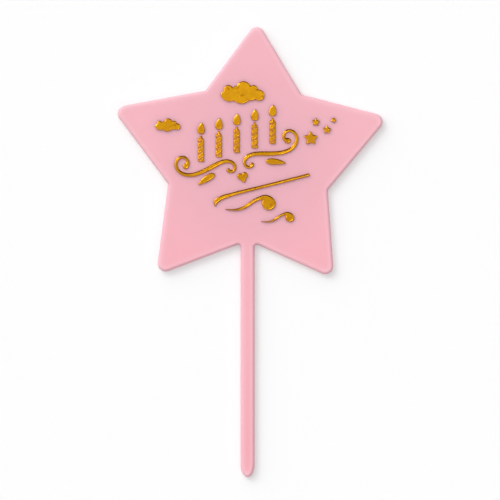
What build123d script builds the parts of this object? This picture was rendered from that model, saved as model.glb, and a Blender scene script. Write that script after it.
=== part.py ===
from build123d import *
import math
import os

os.makedirs("parts", exist_ok=True)

# Cake topper: a star and its stick moulded in one piece, with gold relief ornaments
# seated on its front face. Millimetres. +Z runs up the stick from its tip, +X is to the
# right, and the decorated front faces -Y.

# Star and stick
star_radius = 55.4  # star's centre to the sharp corner of an arm, before rounding
waist_radius = 31.6  # star's centre to an inner corner, before rounding
star_rise = 120.6  # stick's tip up to the star's centre
star_shift = 0.9  # star's centre, right of the stick's axis
plate_thickness = 3.0
stick_width = 5.4
stick_point = 4.9  # length of the stick's rounded point
arm_radius = 3.1
notch_radius = 1.5
root_radius = 1.0  # where the stick runs into the star
front_round = 1.2
back_round = 0.45
round_room_share = 0.85  # the most of a bend or a wall that a rounded edge takes

# The star is a little irregular: each corner's direction in degrees, counter-clockwise
# from the right, and its distance as a share of the star's radius or its waist's
arm_angles = (17.1, 87.0, 159.35, 230.9, 305.3)
arm_shares = (1.0, 0.959, 1.016, 1.024, 1.002)
notch_angles = (51.7, 122.7, 196.25, 268.9, 338.85)
notch_shares = (1.004, 0.993, 1.026, 0.971, 1.006)

# Gold relief
relief_height = 0.8
relief_round = 0.3  # rounding of the relief's shoulders
band_slope = 14  # degrees by which the middle ornament rises to the right
band_shift = -4.4  # its middle, right of the star's centre

# Scrolls: each runs out of a small inner curl into a large outer one
scroll_outer_run = 26.0
scroll_inner_run = 13.5
scroll_outer_turn = 360  # degrees
scroll_inner_turn = 260
scroll_tilt = -14
scroll_power = 2.6  # how steeply a curl tightens along its run
scroll_stations = 16
scroll_substeps = 8
scroll_width = 1.8
scroll_end_width = 1.0
scroll_club_share = 0.7  # half width of the club that a curl ends in, of its bend there
scroll_club_power = 18  # how suddenly a stroke swells into its club
scroll_gap = 2.6  # between the two inner curls

# Candles and flames, upright between the two outer curls
candle_count = 5
candle_width = 2.4
candle_height = 9.0
candle_corner = 0.5
candle_clearance = 1.2  # from the scrolls' middle up to the candles
candle_side_clearance = 3.0  # from an outer curl to the nearest candle
groove_count = 4
groove_width = 0.75
groove_depth = 0.4
groove_slope = 35  # degrees
wick_width = 0.9
wick_height = 0.9
flame_gap = 0.6
flame_height = 4.6
flame_width = 3.0
flame_lean_share = 0.1

# Leaves under the scrolls, and a heart under the inner curls
leaf_length = 8.2
leaf_width = 2.5
leaf_gap = 0.9  # below the scroll
leaf_fall = 13  # degrees by which a leaf falls to its point
leaf_lean_share = 0.1
heart_width = 4.2
heart_gap = 0.8  # below the inner curls
heart_lobe_share = 0.275
heart_drop_share = 0.56
heart_point_share = 0.09
drop_tip = 0.35  # radius of a flame's or a leaf's point
drop_points = 9  # on each side of a drop

# Underline: stations along it and its rise at each, as shares of its length, and its width
# there as a share of its full width
underline_length = 37.4
underline_width = 1.75
underline_clearance = 2.4  # below the heart
underline_start_share = 0.348  # the part of it that lies left of the band's middle
underline_along_shares = (0.008, 0.016, 0.059, 0.15, 0.3, 0.5, 0.74, 1.0)
underline_rise_shares = (-0.065, -0.039, -0.014, -0.001, 0.003, 0.003, 0.003, 0.006)
underline_width_shares = (0.45, 0.86, 1.0, 0.88, 0.78, 0.7, 0.72, 0.66)

# Curls: a tapered tail that arches over a ball, all as shares of the curl's length
large_curl_length = 19.4
small_curl_length = 12.8
large_curl_inset = 3.5  # from the underline's start
large_curl_clearance = 2.3  # below the underline
small_curl_inset = 12.15  # from the large curl's tip
small_curl_clearance = 2.25  # below the large curl
curl_along_shares = (0.02, 0.18, 0.29, 0.42, 0.55, 0.685)
curl_rise_shares = (0.0, -0.01, 0.006, 0.065, 0.155, 0.222)
curl_width_shares = (0.018, 0.038, 0.051, 0.067, 0.068, 0.071)
curl_arch_shares = (0.826, 0.283)  # top of the arch, along and up
curl_ball_shares = (0.858, 0.12, 0.137)  # ball's centre, along and up, and its radius
curl_notch_share = 0.0156  # radius of the notch between the tail and the ball
curl_notch_angle = 160  # degrees round the ball

# Clouds: the notches clockwise from the left, about the cloud's centre, and last its pointed
# end, and how far the lobe after each one stands out, all as shares of the cloud's width
large_cloud_width = 16.9
small_cloud_width = 9.8
cloud_notch_radius = 0.25
large_cloud_along = 5.9  # right of the band's middle
large_cloud_clearance = 3.0  # above the flames
small_cloud_outset = 1.8  # beyond the left scroll
small_cloud_clearance = 10.55  # above the left scroll
cloud_notch_shares = (
    (-0.416, 0.048),
    (-0.219, 0.118),
    (-0.124, 0.162),
    (0.184, 0.147),
    (0.35, 0.072),
    (0.29, -0.156),
    (0.148, -0.178),
    (-0.2, -0.177),
    (-0.495, -0.025),
)
cloud_lobe_shares = (0.092, 0.008, 0.108, 0.062, 0.18, 0.012, 0.072, 0.086, 0.006)
cloud_tip_share = 0.03  # radius of the pointed end

# Small stars: distance from a star's centre to its points, lean in degrees, and place
large_star_radius = 3.0
upper_star_radius = 1.75
lower_star_radius = 1.8
tiny_star_radius = 1.2
large_star_clearance = 1.4  # beyond the right scroll
large_star_up = 1.3  # above the scrolls' axis
upper_star_clearance = 1.75  # from the large star
lower_star_clearance = 2.2  # from the large star
tiny_star_clearance = 1.4  # from the lower star
upper_star_angle = 72.6  # degrees
lower_star_angle = 28
tiny_star_angle = 55.3
small_star_leans = (0, -5, -4, 40)
small_star_points = 5
small_star_waist_share = 0.55
small_star_point_share = 0.1

front_face = Plane(
    (star_shift, -plate_thickness / 2, star_rise), x_dir=(1, 0, 0), z_dir=(0, -1, 0)
)


# A point at a distance and an angle from the origin
def polar(reach, angle):
    return (reach * math.cos(math.radians(angle)), reach * math.sin(math.radians(angle)))


# A point of the sloping band, given along it and up from it, in the star's own frame
def on_band(along, up):
    x_along, z_along = polar(along, band_slope)
    x_up, z_up = polar(up, band_slope + 90)
    return (band_shift + x_along + x_up, z_along + z_up)


# How far a point lies above the band's direction
def above_band(x, z):
    x_up, z_up = polar(1, band_slope + 90)
    return x * x_up + z * z_up


# A point set off from another at a distance and an angle
def set_off(place, distance, angle):
    x_out, z_out = polar(distance, angle)
    return (place[0] + x_out, place[1] + z_out)


# The finished piece under its name
def save(piece, name):
    piece.part.label = name
    export_step(piece.part, f"parts/{name}.step")


# An outline raised from the star's front face, with rounded shoulders
def raise_relief(name, outline, place, shoulder, turn=0):
    with BuildPart() as piece:
        with BuildSketch(front_face):
            with Locations(place):
                add(outline, rotation=turn)
        extrude(amount=relief_height)
        fillet(piece.faces().sort_by(Axis.Y)[0].edges(), radius=shoulder)
    save(piece, name)


# The shoulder's radius on a relief whose narrowest end has this bend
def shoulder_on(bend):
    return min(relief_round, round_room_share * bend, round_room_share * relief_height)


# The two sides of a stroke through stations of (x, z, heading in degrees, width)
def stroke_sides(stations):
    sides = []
    for side in (90, -90):
        points = []
        for x, z, heading, width in stations:
            out_x, out_z = polar(width / 2, heading + side)
            points.append((x + out_x, z + out_z))
        sides.append(points)
    return sides


# The outermost point of a stroke's round end, behind or ahead of its station
def stroke_end(station, sign):
    x, z, heading, width = station
    out_x, out_z = polar(sign * width / 2, heading)
    return (x + out_x, z + out_z)


# A brush stroke with round ends
def stroke_outline(stations):
    left, right = stroke_sides(stations)
    ahead = [polar(1, stations[0][2]), polar(1, stations[-1][2])]
    with BuildSketch() as outline:
        with BuildLine():
            Spline(*left, tangents=ahead, tangent_scalars=(1, 1))
            ThreePointArc(left[-1], stroke_end(stations[-1], 1), right[-1])
            Spline(*right, tangents=ahead, tangent_scalars=(1, 1))
            ThreePointArc(left[0], stroke_end(stations[0], -1), right[0])
        make_face()
    return outline.sketch


# Stations on a smooth line through points
def stations_through(points, widths):
    line = Spline(*points)
    stations = []
    for (x, z), width in zip(points, widths):
        ahead = line.tangent_at(Vector(x, z))
        stations.append((x, z, math.degrees(math.atan2(ahead.Y, ahead.X)), width))
    return stations


# A run that starts straight and winds up ever tighter into a club, as stroke stations
def winding_run(length, turn):
    x = z = 0.0
    step = length / (scroll_stations * scroll_substeps)
    bend = length / (math.radians(turn) * scroll_power)
    club_swell = 2 * scroll_club_share * bend - scroll_end_width
    run = [(x, z, 0.0, scroll_width)]
    for station in range(scroll_stations):
        for substep in range(scroll_substeps):
            share = (station + (substep + 0.5) / scroll_substeps) / scroll_stations
            step_x, step_z = polar(step, turn * share**scroll_power)
            x += step_x
            z += step_z
        share = (station + 1) / scroll_stations
        width = scroll_width + (scroll_end_width - scroll_width) * share
        width += club_swell * share**scroll_club_power
        run.append((x, z, turn * share**scroll_power, width))
    return run


# A teardrop that stands on its round end, with its point leaning to the right
def drop_outline(length, width, lean_share):
    fullest = 4 / (3 * math.sqrt(3))
    halves = []
    for side in (1, -1):
        points = []
        for index in range(drop_points):
            turn = math.pi * index / drop_points
            up = length * (1 + math.cos(turn)) / 2
            across = side * width / 2 * math.sin(turn) * math.sin(turn / 2) / fullest
            points.append((across + lean_share * up * up / length, up))
        halves.append(points)
    right, left = halves
    with BuildSketch() as drop:
        with BuildLine():
            Spline(*right)
            ThreePointArc(right[-1], (0, 0), left[-1])
            Spline(*left)
        make_face()
        fillet(drop.vertices().sort_by(Axis.Y)[-1], radius=drop_tip)
    return drop.sketch


# Star plate with its stick
corners = []
for index in range(len(arm_angles)):
    corners.append(polar(star_radius * arm_shares[index], arm_angles[index]))
    corners.append(polar(waist_radius * notch_shares[index], notch_angles[index]))
corners = [(star_shift + x, star_rise + z) for x, z in corners]
arm_corners = corners[0::2]
bottom_notch = min(corners[1::2], key=lambda corner: corner[1])
notch_corners = [corner for corner in corners[1::2] if corner != bottom_notch]
stick_run = star_rise - stick_point  # straight part, up into the star's middle
point_bend = (stick_width / 2) ** 2 / stick_point  # bend at the very tip of the stick
front_edge = min(front_round, round_room_share * min(point_bend, arm_radius, plate_thickness))
back_edge = min(back_round, round_room_share * min(point_bend, plate_thickness - front_edge))

with BuildPart() as star_plate:
    with BuildSketch(Plane.XZ.offset(-plate_thickness / 2)) as star_outline:
        with BuildLine():
            Polyline(*corners, close=True)
        make_face()
        with Locations((0, stick_point)):
            Rectangle(stick_width, stick_run, align=(Align.CENTER, Align.MIN))
            Ellipse(stick_width / 2, stick_point)
        roots = star_outline.vertices().filter_by(lambda v: v.Y < star_rise).sort_by(
            lambda v: abs(v.X) + abs(v.Y - bottom_notch[1])
        )[:2]
        fillet(roots, radius=root_radius)
        for corner in arm_corners:
            fillet(star_outline.vertices().sort_by_distance(corner)[0], radius=arm_radius)
        for corner in notch_corners:
            fillet(star_outline.vertices().sort_by_distance(corner)[0], radius=notch_radius)
    extrude(amount=plate_thickness)
    fillet(star_plate.faces().sort_by(Axis.Y)[0].edges(), radius=front_edge)
    fillet(star_plate.faces().sort_by(Axis.Y)[-1].edges(), radius=back_edge)
save(star_plate, "star_plate")

# Scrolls, a mirrored pair along the band
outer_run = winding_run(scroll_outer_run, scroll_outer_turn)
inner_run = winding_run(scroll_inner_run, scroll_inner_turn)
scroll_path = [(-x, -z, heading, width) for x, z, heading, width in reversed(inner_run)]
scroll_path += outer_run[1:]
scroll_stroke = []
for x, z, heading, width in scroll_path:
    reach = math.hypot(x, z)
    angle = math.degrees(math.atan2(z, x)) + scroll_tilt
    scroll_stroke.append((*polar(reach, angle), heading + scroll_tilt, width))
scroll_start = scroll_gap / 2 - min(x - width / 2 for x, z, heading, width in scroll_stroke)
scroll_end = scroll_start + max(x + width / 2 for x, z, heading, width in scroll_stroke)
scroll_bottom = min(z - width / 2 for x, z, heading, width in scroll_stroke)
scroll_top = max(z + width / 2 for x, z, heading, width in scroll_stroke)
right_outline = stroke_outline(scroll_stroke)
left_outline = mirror(right_outline, about=Plane.YZ)
scroll_shoulder = shoulder_on(scroll_end_width / 2)
raise_relief("right_scroll", right_outline, on_band(scroll_start, 0), scroll_shoulder, band_slope)
raise_relief("left_scroll", left_outline, on_band(-scroll_start, 0), scroll_shoulder, band_slope)

# Candles and flames
outer_curl = scroll_stroke[-scroll_stations // 4 :]
curl_side = scroll_start + min(x - width / 2 for x, z, heading, width in outer_curl)
row_half = curl_side - candle_side_clearance - candle_width / 2
candle_pitch = 2 * row_half / (candle_count - 1)
candle_base = candle_clearance + max(
    z + width / 2 for x, z, heading, width in scroll_stroke if scroll_start + x < row_half
)
candle_shoulder = shoulder_on(min(wick_width / 2, candle_corner))
flame_base = candle_height + wick_height + flame_gap
flame_outline = drop_outline(flame_height, flame_width, flame_lean_share)
with BuildSketch() as candle_outline:
    RectangleRounded(candle_width, candle_height, candle_corner, align=(Align.CENTER, Align.MIN))
    with Locations((0, candle_height / 2)):
        Rectangle(wick_width, candle_height / 2 + wick_height, align=(Align.CENTER, Align.MIN))
for number in range(1, candle_count + 1):
    x, z = on_band((number - 1) * candle_pitch - row_half, candle_base)
    with BuildPart() as candle:
        with BuildSketch(front_face):
            with Locations((x, z)):
                add(candle_outline.sketch)
        extrude(amount=relief_height)
        fillet(candle.faces().sort_by(Axis.Y)[0].edges(), radius=candle_shoulder)
        with BuildSketch(front_face.offset(relief_height)):
            with Locations((x, z + candle_height / 2)):
                with GridLocations(candle_width, candle_height / groove_count, 1, groove_count):
                    Rectangle(2 * candle_width, groove_width, rotation=groove_slope)
        extrude(amount=-groove_depth, mode=Mode.SUBTRACT)
    save(candle, f"candle_{number}")
    raise_relief(
        f"flame_{number}", flame_outline, (x, z + flame_base), shoulder_on(drop_tip)
    )

# Leaves, from the middle of each scroll outwards
leaf_outline = drop_outline(leaf_length, leaf_width, leaf_lean_share)
leaf_drop = scroll_width / 2 + leaf_gap + leaf_width / 2
for name, side in (("right_leaf", 1), ("left_leaf", -1)):
    outline = leaf_outline if side > 0 else mirror(leaf_outline, about=Plane.YZ)
    place = on_band(side * scroll_start, -leaf_drop)
    turn = band_slope - side * (90 + leaf_fall)
    raise_relief(name, outline, place, shoulder_on(drop_tip), turn)

# Heart under the two inner curls
heart_lobe = heart_width * heart_lobe_share
heart_point = heart_width * heart_point_share
heart_up = scroll_bottom - heart_gap - heart_lobe
with BuildSketch() as heart:
    for side in (-1, 1):
        with BuildSketch(mode=Mode.PRIVATE) as half:
            with Locations((side * (heart_width / 2 - heart_lobe), 0)):
                Circle(heart_lobe)
            with Locations((0, -heart_width * heart_drop_share)):
                Circle(heart_point)
            make_hull()
        add(half.sketch)
raise_relief("heart", heart.sketch, on_band(0, heart_up), shoulder_on(heart_point), band_slope)

# Underline
heart_bottom = heart_up - heart_width * heart_drop_share - heart_point
underline_up = heart_bottom - underline_clearance - underline_width / 2
underline_points = [
    (along * underline_length, rise * underline_length)
    for along, rise in zip(underline_along_shares, underline_rise_shares)
]
underline_widths = [share * underline_width for share in underline_width_shares]
underline_along = -underline_start_share * underline_length
raise_relief(
    "underline",
    stroke_outline(stations_through(underline_points, underline_widths)),
    on_band(underline_along, underline_up),
    shoulder_on(min(underline_widths) / 2),
    band_slope,
)


# A curl's tapered tail, as stroke stations
def curl_tail(length):
    points = [
        (along * length, rise * length)
        for along, rise in zip(curl_along_shares, curl_rise_shares)
    ]
    return stations_through(points, [share * length for share in curl_width_shares])


# The centre and the radius of a curl's ball
def curl_ball(length):
    ball_x, ball_z, ball_radius = [share * length for share in curl_ball_shares]
    return (ball_x, ball_z), ball_radius


# A curl: its tail arches over the ball, runs round it and ends in a rounded notch
def curl_outline(length):
    tail = curl_tail(length)
    left, right = stroke_sides(tail)
    tip_heading = tail[0][2]
    tail_heading = tail[-1][2]
    arch = tuple(share * length for share in curl_arch_shares)
    ball, ball_radius = curl_ball(length)
    ball_start, ball_middle, ball_end = [
        set_off(ball, ball_radius, angle) for angle in (0, -90, curl_notch_angle)
    ]
    notch_radius = curl_notch_share * length
    notch = set_off(ball, ball_radius + notch_radius, curl_notch_angle)
    notch_turn = (tail_heading + 90 + curl_notch_angle - 180) / 2
    notch_middle = set_off(notch, notch_radius, notch_turn)
    notch_end = set_off(notch, notch_radius, tail_heading + 90)
    over = (polar(1, tip_heading), (0, -1))
    under = (polar(1, tip_heading), polar(1, tail_heading))
    with BuildSketch() as curl:
        with BuildLine():
            Spline(*left, arch, ball_start, tangents=over, tangent_scalars=(1, 1))
            ThreePointArc(ball_start, ball_middle, ball_end)
            ThreePointArc(ball_end, notch_middle, notch_end)
            Spline(*right[:-1], notch_end, tangents=under, tangent_scalars=(1, 1))
            ThreePointArc(left[0], stroke_end(tail[0], -1), right[0])
        make_face()
    return curl.sketch


# The large curl under the underline, and the small one under it
curl_along = underline_along + large_curl_inset
curl_up = underline_up - underline_width / 2 - large_curl_clearance
curls = (
    ("large_curl", large_curl_length, small_curl_inset, small_curl_clearance),
    ("small_curl", small_curl_length, 0, 0),
)
for name, length, next_inset, next_clearance in curls:
    curl_up -= max(above_band(x, z) + width / 2 for x, z, heading, width in curl_tail(length))
    place = on_band(curl_along, curl_up)
    raise_relief(name, curl_outline(length), place, shoulder_on(curl_width_shares[0] * length / 2))
    ball, ball_radius = curl_ball(length)
    curl_along += next_inset
    curl_up += above_band(*ball) - ball_radius - next_clearance


# A cloud of round lobes that runs out to a point on the left
def cloud_outline(width):
    notches = [(x * width, z * width) for x, z in cloud_notch_shares]
    with BuildSketch() as cloud:
        with BuildLine():
            for start, end, lobe in zip(notches, notches[1:] + notches[:1], cloud_lobe_shares):
                SagittaArc(start, end, lobe * width)
        make_face()
        fillet(cloud.vertices().sort_by(Axis.X)[1:], radius=cloud_notch_radius)
        fillet(cloud.vertices().sort_by(Axis.X)[0], radius=cloud_tip_share * width)
    return cloud.sketch


# The large cloud over the flames, and the small one over the left scroll's end
flames_top = candle_base + above_band(0, flame_base + flame_height)
clouds = (
    ("large_cloud", large_cloud_width, large_cloud_along, flames_top, large_cloud_clearance),
    (
        "small_cloud",
        small_cloud_width,
        -scroll_end - small_cloud_outset,
        scroll_top,
        small_cloud_clearance,
    ),
)
for name, width, along, top, clearance in clouds:
    outline = cloud_outline(width)
    base = on_band(along, top)
    place = set_off(base, clearance - outline.bounding_box().min.Y, 90)
    raise_relief(name, outline, place, shoulder_on(width * cloud_tip_share))


# A star with softened points
def small_star_outline(radius):
    step = 360 / small_star_points
    points = []
    for index in range(small_star_points):
        points.append(polar(radius, 90 + step * index))
        points.append(polar(radius * small_star_waist_share, 90 + step * (index + 0.5)))
    with BuildSketch() as star:
        with BuildLine():
            Polyline(*points, close=True)
        make_face()
        fillet(star.vertices(), radius=radius * small_star_point_share)
    return star.sketch


# Each small star is set off from a neighbour
large_star_along = scroll_end + large_star_clearance + large_star_radius
large_place = on_band(large_star_along, large_star_up)
upper_distance = large_star_radius + upper_star_clearance + upper_star_radius
upper_place = set_off(large_place, upper_distance, upper_star_angle)
lower_distance = large_star_radius + lower_star_clearance + lower_star_radius
lower_place = set_off(large_place, lower_distance, lower_star_angle)
tiny_distance = lower_star_radius + tiny_star_clearance + tiny_star_radius
tiny_place = set_off(lower_place, tiny_distance, tiny_star_angle)
small_stars = (
    ("large_star", large_star_radius, large_place),
    ("upper_star", upper_star_radius, upper_place),
    ("lower_star", lower_star_radius, lower_place),
    ("tiny_star", tiny_star_radius, tiny_place),
)
for (name, radius, place), lean in zip(small_stars, small_star_leans):
    shoulder = shoulder_on(radius * small_star_point_share)
    raise_relief(name, small_star_outline(radius), place, shoulder, lean)
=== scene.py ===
import math

import bmesh
import bpy
from mathutils import Matrix, Vector, kdtree, noise


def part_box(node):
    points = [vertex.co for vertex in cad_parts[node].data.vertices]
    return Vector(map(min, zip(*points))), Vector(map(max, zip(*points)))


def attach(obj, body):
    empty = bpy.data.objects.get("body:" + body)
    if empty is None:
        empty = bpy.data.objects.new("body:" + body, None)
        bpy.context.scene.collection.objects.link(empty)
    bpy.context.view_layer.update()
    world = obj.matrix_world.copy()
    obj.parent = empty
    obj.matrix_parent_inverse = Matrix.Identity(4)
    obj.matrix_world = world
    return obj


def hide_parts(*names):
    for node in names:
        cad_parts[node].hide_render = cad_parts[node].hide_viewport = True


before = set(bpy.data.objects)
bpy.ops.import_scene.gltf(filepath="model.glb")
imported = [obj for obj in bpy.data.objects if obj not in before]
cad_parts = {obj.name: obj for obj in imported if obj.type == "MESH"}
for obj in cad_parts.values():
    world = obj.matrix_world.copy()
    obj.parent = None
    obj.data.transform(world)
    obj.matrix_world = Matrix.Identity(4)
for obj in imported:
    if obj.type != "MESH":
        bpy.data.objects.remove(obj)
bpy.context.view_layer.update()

# Lengths are in metres. The decorated side faces along -Y, and Z goes up the stick
plateLow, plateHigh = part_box("star_plate")
seat = plateLow.y  # the plate's front face, which the gold sits on
front = (0, -1, 0)
starCentre = (0.0009, 0.0, 0.1206)
noiseMiddle = 0.5  # the level that a noise pattern swings about
print("frame loaded:", len(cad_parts), "nodes")


# A socket whose + - and * add Math nodes, and one method for every other node
class Wire:
    def __init__(self, tree, socket=None):
        self.tree = tree
        self.socket = socket

    def node(self, kind, settings=None, inputs=None, output=0):
        made = self.tree.nodes.new(kind)
        for name, value in (settings or {}).items():
            setattr(made, name, value)
        for key, value in (inputs or {}).items():
            if isinstance(value, Wire):
                self.tree.links.new(value.socket, made.inputs[key])
            else:
                made.inputs[key].default_value = value
        return Wire(self.tree, made.outputs[output] if made.outputs else None)

    def math(self, operation, first, second):
        return self.node("ShaderNodeMath", {"operation": operation}, {0: first, 1: second})

    def __add__(self, other):
        return self.math("ADD", self, other)

    def __radd__(self, other):
        return self.math("ADD", other, self)

    def __sub__(self, other):
        return self.math("SUBTRACT", self, other)

    def __rsub__(self, other):
        return self.math("SUBTRACT", other, self)

    def __mul__(self, other):
        return self.math("MULTIPLY", self, other)

    def __rmul__(self, other):
        return self.math("MULTIPLY", other, self)


# An empty material, ready for its nodes
def blankMaterial(name):
    material = bpy.data.materials.new(name)
    material.use_nodes = True
    material.node_tree.nodes.clear()
    return material, Wire(material.node_tree)


# Share of the way from one level to another, from 0 to 1
def between(wire, low, high, easing="SMOOTHSTEP"):
    return wire.node(
        "ShaderNodeMapRange",
        {"interpolation_type": easing},
        {"Value": wire, "From Min": low, "From Max": high},
    )


def noiseAt(place, scale, detail, roughness=0.5):
    return place.node(
        "ShaderNodeTexNoise",
        None,
        {"Vector": place, "Scale": scale, "Detail": detail, "Roughness": roughness},
    )


# One coordinate of a place: X, Y or Z
def along(place, axis):
    return place.node("ShaderNodeSeparateXYZ", None, {0: place}, output=axis)


# Sockets 6 and 7 and output 2 are the Mix node's colours
def blendColour(mask, first, second):
    return mask.node(
        "ShaderNodeMix",
        {"data_type": "RGBA"},
        {"Factor": mask, 6: first, 7: second},
        output=2,
    )


# How free a point is of other surfaces within reach, seen from outside or within the piece
def openness(wire, reach, samples, within=False):
    return wire.node(
        "ShaderNodeAmbientOcclusion",
        {"inside": within, "only_local": within, "samples": samples},
        {"Distance": reach},
        output="AO",
    )


# Bump from a height in metres
def bumpFrom(height):
    return height.node("ShaderNodeBump", None, {"Height": height, "Distance": 1.0, "Strength": 1.0})


# A new object in the scene, from a mesh, lamp or camera
def addObject(name, data):
    piece = bpy.data.objects.new(name, data)
    bpy.context.scene.collection.objects.link(piece)
    return piece


# A new mesh from a bmesh, which is then freed
def meshFrom(shape, name):
    mesh = bpy.data.meshes.new(name)
    shape.to_mesh(mesh)
    shape.free()
    return mesh


def hideFrom(piece, rays):
    for ray in rays:
        setattr(piece, "visible_" + ray, False)


# Moulded pink plastic: cooler in the star's middle, fine grain, soft flow clouds, with painted
# sheen on the upper arms, painted shade at the stick point and round the ornaments, and a painted
# pale rim
pinkLook = {
    "middleColour": (0.838, 0.434, 0.501, 1),
    "sheenedUpperColour": (0.912, 0.460, 0.522, 1),
    # painted sheen: paler colour where the upper arms catch more light
    "lowerColour": (0.920, 0.438, 0.504, 1),
    # painted shade: deeper colour at the stick point, which gets less light
    "shadedTipColour": (0.905, 0.402, 0.464, 1),
    # painted light: paler colour for the rim
    "rimLightColour": (0.945, 0.560, 0.630, 1),
    # painted shade: darker colour round the foot of each ornament
    "paintedShadeColour": (0.735, 0.404, 0.472, 1),
    "tipRise": 0.010,  # heights up the stick and star where one colour gives way to the next
    "shaftRise": 0.055,
    "lowerRise": 0.075,
    "upperRise": 0.125,
    "middleReach": 0.012,  # distances from the star's centre
    "outerReach": 0.046,
    "flowScale": 70.0,
    "flowDetail": 3.0,
    "flowShare": 0.35,
    "rimReach": 0.0028,
    "rimStart": 0.98,
    "rimEnd": 0.50,
    # painted shade round the ornaments reaches this far
    "shadeReach": 0.006,
    "shadeStart": 0.995,
    "shadeEnd": 0.88,
    "edgeSamples": 24,
    "grainScale": 2600.0,
    "grainDetail": 1.0,
    "grainHeight": 0.000005,
    "waveScale": 160.0,
    "waveDetail": 2.0,
    "waveHeight": 0.00012,
    "roughness": 0.48,
    "roughnessSpread": 0.12,
    "gloss": 0.26,
}


# Colour of the plastic before its edges: a cool middle, warm arms, painted sheen that pales the
# upper arms and painted shade that deepens the stick point
def pinkBody(place, look):
    distance = place.node(
        "ShaderNodeVectorMath", {"operation": "DISTANCE"}, {0: place, 1: starCentre}, output="Value"
    )
    outward = between(distance, look["middleReach"], look["outerReach"])
    flow = noiseAt(place, look["flowScale"], look["flowDetail"])
    tone = outward + (flow - noiseMiddle) * look["flowShare"]
    rise = along(place, "Z")
    upward = between(rise, look["lowerRise"], look["upperRise"])
    shaftward = between(rise, look["tipRise"], look["shaftRise"])
    # painted shade deepens the stick point and painted sheen pales the upper arms
    stick = blendColour(shaftward, look["shadedTipColour"], look["lowerColour"])
    outer = blendColour(upward, stick, look["sheenedUpperColour"])
    return blendColour(tone, look["middleColour"], outer)


def pinkPlastic(look):
    material, wire = blankMaterial("pinkPlastic")
    place = wire.node("ShaderNodeTexCoord", output="Object")
    body = pinkBody(place, look)
    # painted light: the rim is painted paler than the middle, standing in for light that scatters
    # through the plastic near an edge
    inside = openness(wire, look["rimReach"], look["edgeSamples"], within=True)
    rim = between(inside, look["rimStart"], look["rimEnd"], "LINEAR")
    rimmed = blendColour(rim, body, look["rimLightColour"])
    # painted shade: the plastic is painted darker round the foot of each ornament, where the relief
    # shades it
    outside = openness(wire, look["shadeReach"], look["edgeSamples"])
    paintedShade = between(outside, look["shadeStart"], look["shadeEnd"], "LINEAR")
    colour = blendColour(paintedShade, rimmed, look["paintedShadeColour"])
    grain = noiseAt(place, look["grainScale"], look["grainDetail"])
    wave = noiseAt(place, look["waveScale"], look["waveDetail"])
    height = grain * look["grainHeight"] + wave * look["waveHeight"]
    shader = wire.node(
        "ShaderNodeBsdfPrincipled",
        None,
        {
            "Base Color": colour,
            "Roughness": look["roughness"] + (wave - noiseMiddle) * look["roughnessSpread"],
            "Normal": bumpFrom(height),
            "Specular IOR Level": look["gloss"],
        },
    )
    wire.node("ShaderNodeOutputMaterial", None, {"Surface": shader})
    return material


# Gold relief: metal with amber blotches and a few dark specks, lacquered on its slopes, with
# painted shade at its foot
goldLook = {
    "brightColour": (0.735, 0.348, 0.009, 1),
    "amberColour": (0.455, 0.192, 0.006, 1),
    # painted shade: browner colour at the foot of the gold
    "footShadeColour": (0.50, 0.186, 0.004, 1),
    "speckColour": (0.26, 0.090, 0.004, 1),
    "footHeight": 0.00036,  # above the seat: browner below this, and all gold above the crest
    "crestHeight": 0.00062,
    "footMetalLoss": 0.7,
    "lowRise": 0.115,  # the gold is brighter higher up the star
    "highRise": 0.150,
    "riseShare": 0.5,
    "blotchScale": 320.0,
    "blotchDetail": 4.0,
    "blotchRoughness": 0.6,
    "blotchStart": 0.35,
    "blotchEnd": 0.65,
    "speckScale": 430.0,
    "speckDetail": 3.0,
    "speckRoughness": 0.55,
    "speckStart": 0.58,
    "speckEnd": 0.68,
    "speckShare": 0.7,
    "grainScale": 2200.0,
    "grainDetail": 1.0,
    "grainHeight": 0.000006,
    "dentScale": 700.0,
    "dentDetail": 2.0,
    "dentHeight": 0.000015,
    "roughness": 0.14,
    "roughnessSpread": 0.10,
    "lacquerStart": 0.985,  # how squarely the surface faces the front: 1 is flat on
    "lacquerEnd": 0.90,
    "lacquerShare": 0.5,
    "lacquerRoughness": 0.12,
    "lacquerDensity": 1.50,
}


# Soft amber blotches over the gold, from 0 in an amber patch to 1 in a bright one
def goldBlotch(place, look):
    pattern = noiseAt(place, look["blotchScale"], look["blotchDetail"], look["blotchRoughness"])
    return between(pattern, look["blotchStart"], look["blotchEnd"])


# Colour of the gold's top
def goldBody(place, blotch, look):
    upward = between(along(place, "Z"), look["lowRise"], look["highRise"])
    tone = upward * look["riseShare"] + blotch * (1 - look["riseShare"])
    body = blendColour(tone, look["amberColour"], look["brightColour"])
    pattern = noiseAt(place, look["speckScale"], look["speckDetail"], look["speckRoughness"])
    speck = between(pattern, look["speckStart"], look["speckEnd"])
    return blendColour(speck * look["speckShare"], body, look["speckColour"])


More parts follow.
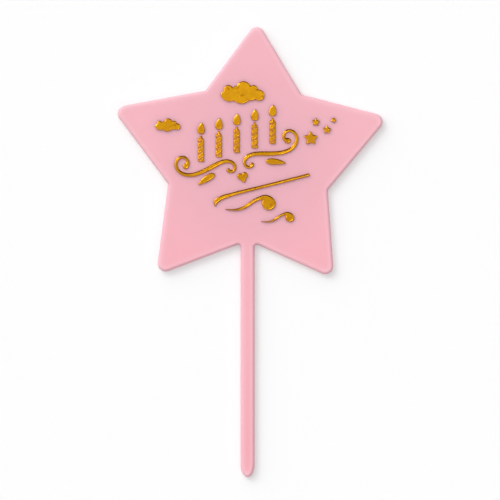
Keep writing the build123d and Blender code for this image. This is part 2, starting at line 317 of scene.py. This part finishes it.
def goldRelief(look):
    material, wire = blankMaterial("goldRelief")
    place = wire.node("ShaderNodeTexCoord", output="Object")
    blotch = goldBlotch(place, look)
    body = goldBody(place, blotch, look)
    # painted shade: the gold is painted browner down at its foot, beside the plate
    footShade = between(along(place, "Y"), seat - look["crestHeight"], seat - look["footHeight"])
    colour = blendColour(footShade, body, look["footShadeColour"])
    # lacquer gathers on the sloping shoulders
    facing = wire.node("ShaderNodeTexCoord", output="Normal")
    turned = facing.node(
        "ShaderNodeVectorMath", {"operation": "DOT_PRODUCT"}, {0: facing, 1: front}, output="Value"
    )
    lacquer = between(turned, look["lacquerStart"], look["lacquerEnd"]) * look["lacquerShare"]
    dent = noiseAt(place, look["dentScale"], look["dentDetail"])
    grain = noiseAt(place, look["grainScale"], look["grainDetail"])
    height = dent * look["dentHeight"] + grain * look["grainHeight"]
    shader = wire.node(
        "ShaderNodeBsdfPrincipled",
        None,
        {
            "Base Color": colour,
            "Metallic": 1 - footShade * look["footMetalLoss"],
            "Roughness": look["roughness"] + (1 - blotch) * look["roughnessSpread"],
            "Coat Weight": lacquer,
            "Coat Roughness": look["lacquerRoughness"],
            "Coat IOR": look["lacquerDensity"],
            "Normal": bumpFrom(height),
        },
    )
    wire.node("ShaderNodeOutputMaterial", None, {"Surface": shader})
    return material


pinkMaterial = pinkPlastic(pinkLook)
goldMaterial = goldRelief(goldLook)
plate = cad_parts["star_plate"]
plate.data.materials.clear()
plate.data.materials.append(pinkMaterial)
print("plate dressed")

# Each gold ornament is a remeshed copy of its solid whose top falls off in a round slope to a
# low lip along the outline, with a slightly dented skin
goldShape = {
    "weld": 0.000002,
    "seatFacing": 0.99,  # faces that point back this squarely lie on the seat
    "root": 0.0005,  # how far the foot goes into the plate while it is shaped
    "voxel": 0.00009,
    "sampleStep": 0.00006,
    "strokeSlope": 0.00075,  # width of the slope on lines and curls
    "plateauSlope": 0.00045,  # and on broad ornaments, named next
    "plateaus": ("cloud", "star", "flame", "candle", "heart", "leaf"),
    "lip": 0.00042,
    "softenings": 2,
    "softeningShare": 0.5,
    "dent": 0.000012,
    "dentScale": 420.0,
}
goldNames = sorted(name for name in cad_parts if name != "star_plate")


# The mesh that a piece's modifiers make, which are then taken off
def finishedMesh(piece):
    bpy.context.view_layer.update()
    depsgraph = bpy.context.evaluated_depsgraph_get()
    mesh = bpy.data.meshes.new_from_object(piece.evaluated_get(depsgraph))
    piece.modifiers.clear()
    return mesh


# A copy of a CAD solid with its loose triangles joined
def weldedCopy(name, shape):
    solid = bmesh.new()
    solid.from_mesh(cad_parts[name].data)
    bmesh.ops.remove_doubles(solid, verts=solid.verts, dist=shape["weld"])
    solid.normal_update()
    return solid


# Points along the outline of an ornament's seat, for measuring how far in a vertex lies
def outlineTree(solid, shape):
    points = []
    for edge in solid.edges:
        start, end = (vert.co for vert in edge.verts)
        onSeat = max(abs(start.y - seat), abs(end.y - seat)) < shape["weld"]
        seatFaces = [face.normal.y > shape["seatFacing"] for face in edge.link_faces]
        if onSeat and any(seatFaces) and not all(seatFaces):
            steps = max(1, math.ceil((end - start).length / shape["sampleStep"]))
            points += [start.lerp(end, step / steps) for step in range(steps)]
    tree = kdtree.KDTree(len(points))
    for index, point in enumerate(points):
        tree.insert(point, index)
    tree.balance()
    return tree


# A piece of small even faces, with its foot in the plate so that softening leaves the seat's
# outline alone
def voxelPiece(name, solid, shape):
    for vert in solid.verts:
        if vert.co.y > seat - shape["weld"]:
            vert.co.y = seat + shape["root"]
    piece = addObject(name, meshFrom(solid, name))
    remesh = piece.modifiers.new("voxels", "REMESH")
    remesh.mode = "VOXEL"
    remesh.voxel_size = shape["voxel"]
    piece.data = finishedMesh(piece)
    return piece


# Lowers the top towards the outline in a quarter round, down to the lip, then softens it
def roundTop(soft, outline, slope, lipShare, shape):
    for vert in soft.verts:
        height = seat - vert.co.y
        if height > 0:
            onSeat = Vector((vert.co.x, seat, vert.co.z))
            distance = outline.find(onSeat)[-1]  # comes after the nearest point and its index
            inset = min(1.0, distance / slope)
            rise = lipShare + (1 - lipShare) * math.sqrt(1 - (1 - inset) ** 2)
            dent = shape["dent"] * inset * (1 + noise.noise(vert.co * shape["dentScale"])) / 2
            vert.co.y = seat - height * rise + dent
    for turn in range(shape["softenings"]):
        bmesh.ops.smooth_vert(
            soft,
            verts=soft.verts,
            factor=shape["softeningShare"],
            use_axis_x=True,
            use_axis_y=True,
            use_axis_z=True,
        )


# Takes away what is behind the seat and closes the cut
def cutAtSeat(soft):
    everything = soft.verts[:] + soft.edges[:] + soft.faces[:]
    bmesh.ops.bisect_plane(
        soft, geom=everything, plane_co=(0, seat, 0), plane_no=(0, 1, 0), clear_outer=True
    )
    openEdges = [edge for edge in soft.edges if edge.is_boundary]
    bmesh.ops.holes_fill(soft, edges=openEdges, sides=0)
    bmesh.ops.recalc_face_normals(soft, faces=soft.faces)
    for face in soft.faces:
        face.smooth = True


def softOrnament(name, shape):
    solid = weldedCopy(name, shape)
    outline = outlineTree(solid, shape)
    fullHeight = seat - min(vert.co.y for vert in solid.verts)
    broad = any(word in name for word in shape["plateaus"])
    slope = shape["plateauSlope"] if broad else shape["strokeSlope"]
    piece = voxelPiece(name + "Soft", solid, shape)
    soft = bmesh.new()
    soft.from_mesh(piece.data)
    roundTop(soft, outline, slope, shape["lip"] / fullHeight, shape)
    cutAtSeat(soft)
    soft.to_mesh(piece.data)
    soft.free()
    piece.data.materials.clear()
    piece.data.materials.append(goldMaterial)
    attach(piece, "root")
    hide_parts(name)


for goldName in goldNames:
    softOrnament(goldName, goldShape)
print("gold ornaments softened:", len(goldNames))


# White backdrop that the topper lies on: it keeps the shadow and is seen only from its front
backdropLook = {
    "halfSize": 1.6,
    "gap": 0.00005,
    "colour": (0.77, 0.77, 0.77, 1),
    "glow": 0.22,
}


def backdropPaper(look):
    material, wire = blankMaterial("backdropPaper")
    diffuse = wire.node("ShaderNodeBsdfDiffuse", None, {"Color": look["colour"]})
    glow = wire.node("ShaderNodeEmission", None, {"Strength": look["glow"]})
    paper = wire.node("ShaderNodeAddShader", None, {0: diffuse, 1: glow})
    clear = wire.node("ShaderNodeBsdfTransparent")
    behind = wire.node("ShaderNodeNewGeometry", output="Backfacing")
    sided = wire.node("ShaderNodeMixShader", None, {0: behind, 1: paper, 2: clear})
    wire.node("ShaderNodeOutputMaterial", None, {"Surface": sided})
    return material


def layBackdrop(look):
    sheet = bmesh.new()
    bmesh.ops.create_grid(sheet, x_segments=1, y_segments=1, size=look["halfSize"])
    # a quarter turn stands the sheet up with its face to the front
    bmesh.ops.rotate(sheet, matrix=Matrix.Rotation(math.pi / 2, 3, "X"), verts=sheet.verts)
    bmesh.ops.translate(sheet, vec=(0, plateHigh.y + look["gap"], 0), verts=sheet.verts)
    mesh = meshFrom(sheet, "backdrop")
    mesh.materials.append(backdropPaper(look))
    backdrop = addObject("backdrop", mesh)
    hideFrom(backdrop, ("diffuse", "glossy", "transmission", "shadow"))


layBackdrop(backdropLook)

# Dark and bright cards round the star that only its gloss reflects
darkCard = {"colour": (0.03, 0.02, 0.012, 1), "strength": 1.0, "distance": 0.6}
glintCard = {"colour": (1, 1, 1, 1), "distance": 0.45}
cardLook = {
    "upperCard": darkCard | {"towards": (0.0, -0.66, 0.75), "halfSize": (0.50, 0.31)},
    "ceilingCard": darkCard | {"towards": (0.0, -0.05, 1.0), "halfSize": (0.60, 0.25)},
    "cornerCard": darkCard | {"towards": (0.66, -0.34, -0.66), "halfSize": (0.25, 0.23)},
    "upperGlint": glintCard | {
        "towards": (-0.66, -0.38, 0.66), "halfSize": (0.17, 0.04), "strength": 9.0
    },
    "lowerGlint": glintCard | {
        "towards": (0.31, -0.90, -0.31), "halfSize": (0.10, 0.025), "strength": 8.0
    },
}


def hangCard(name, look):
    card = bmesh.new()
    bmesh.ops.create_grid(card, x_segments=1, y_segments=1, size=1)
    bmesh.ops.scale(card, vec=(*look["halfSize"], 1), verts=card.verts)
    towards = Vector(look["towards"]).normalized()
    bmesh.ops.transform(card, matrix=towards.to_track_quat("Z", "Y").to_matrix(), verts=card.verts)
    bmesh.ops.translate(card, vec=Vector(starCentre) + towards * look["distance"], verts=card.verts)
    material, wire = blankMaterial(name)
    glow = wire.node(
        "ShaderNodeEmission", None, {"Color": look["colour"], "Strength": look["strength"]}
    )
    wire.node("ShaderNodeOutputMaterial", None, {"Surface": glow})
    mesh = meshFrom(card, name)
    mesh.materials.append(material)
    piece = addObject(name, mesh)
    hideFrom(piece, ("camera", "diffuse", "transmission", "shadow"))


for cardName, cardPlace in cardLook.items():
    hangCard(cardName, cardPlace)

# Lamps: share is the part of full light that a surface facing the lamp gets from it
lampLook = {
    "window": {"from": (-0.70, -0.85, 0.80), "share": 0.57, "degrees": 84},
    "key": {"from": (-0.70, -0.85, 0.80), "share": 0.21, "degrees": 26},
    "fill": {"from": (0.62, -1.00, -0.55), "share": 0.12, "degrees": 24},
    "back": {"from": (-0.15, 1.0, 0.25), "share": 0.50, "degrees": 50},
}


def hangLamp(name, look):
    lamp = bpy.data.lights.new(name, "SUN")
    lamp.energy = look["share"] * math.pi
    lamp.angle = math.radians(look["degrees"])
    piece = addObject(name, lamp)
    piece.rotation_euler = Vector(look["from"]).to_track_quat("Z", "Y").to_euler()


for lampName, lampPlace in lampLook.items():
    hangLamp(lampName, lampPlace)

# The world lights the object softly, and is white where it is seen, mirrored or looked through
worldLook = {"colour": (1, 1, 1, 1), "level": 0.42, "seen": 1.0}


def paintWorld(look):
    world = bpy.data.worlds.new("studio")
    bpy.context.scene.world = world
    world.use_nodes = True
    world.node_tree.nodes.clear()
    wire = Wire(world.node_tree)
    camera, glossy, through = (
        wire.node("ShaderNodeLightPath", output=ray)
        for ray in ("Is Camera Ray", "Is Glossy Ray", "Is Transmission Ray")
    )
    seen = wire.math("MAXIMUM", wire.math("MAXIMUM", camera, glossy), through)
    strength = look["level"] + seen * (look["seen"] - look["level"])
    glow = wire.node("ShaderNodeBackground", None, {"Color": look["colour"], "Strength": strength})
    wire.node("ShaderNodeOutputWorld", None, {"Surface": glow})


paintWorld(worldLook)
print("stage and light set")

# Camera square to the star's front, as far off as a long lens stands
cameraLook = {
    "aim": (0.00093, 0.0, 0.08637),
    "distance": 1.2,
    "frameWidth": 0.190,  # at the plate's front face
    "sensor": 36.0,  # millimetres
    "clipStart": 0.05,
}


def setCamera(look):
    camera = bpy.data.cameras.new("camera")
    camera.sensor_width = look["sensor"]
    camera.lens = look["sensor"] * (look["distance"] + seat) / look["frameWidth"]
    camera.clip_start = look["clipStart"]
    piece = addObject("camera", camera)
    piece.location = Vector(look["aim"]) + Vector(front) * look["distance"]
    piece.rotation_euler = (math.pi / 2, 0, 0)
    bpy.context.scene.camera = piece


setCamera(cameraLook)
bpy.context.scene.view_settings.view_transform = "Standard"
print("camera set")
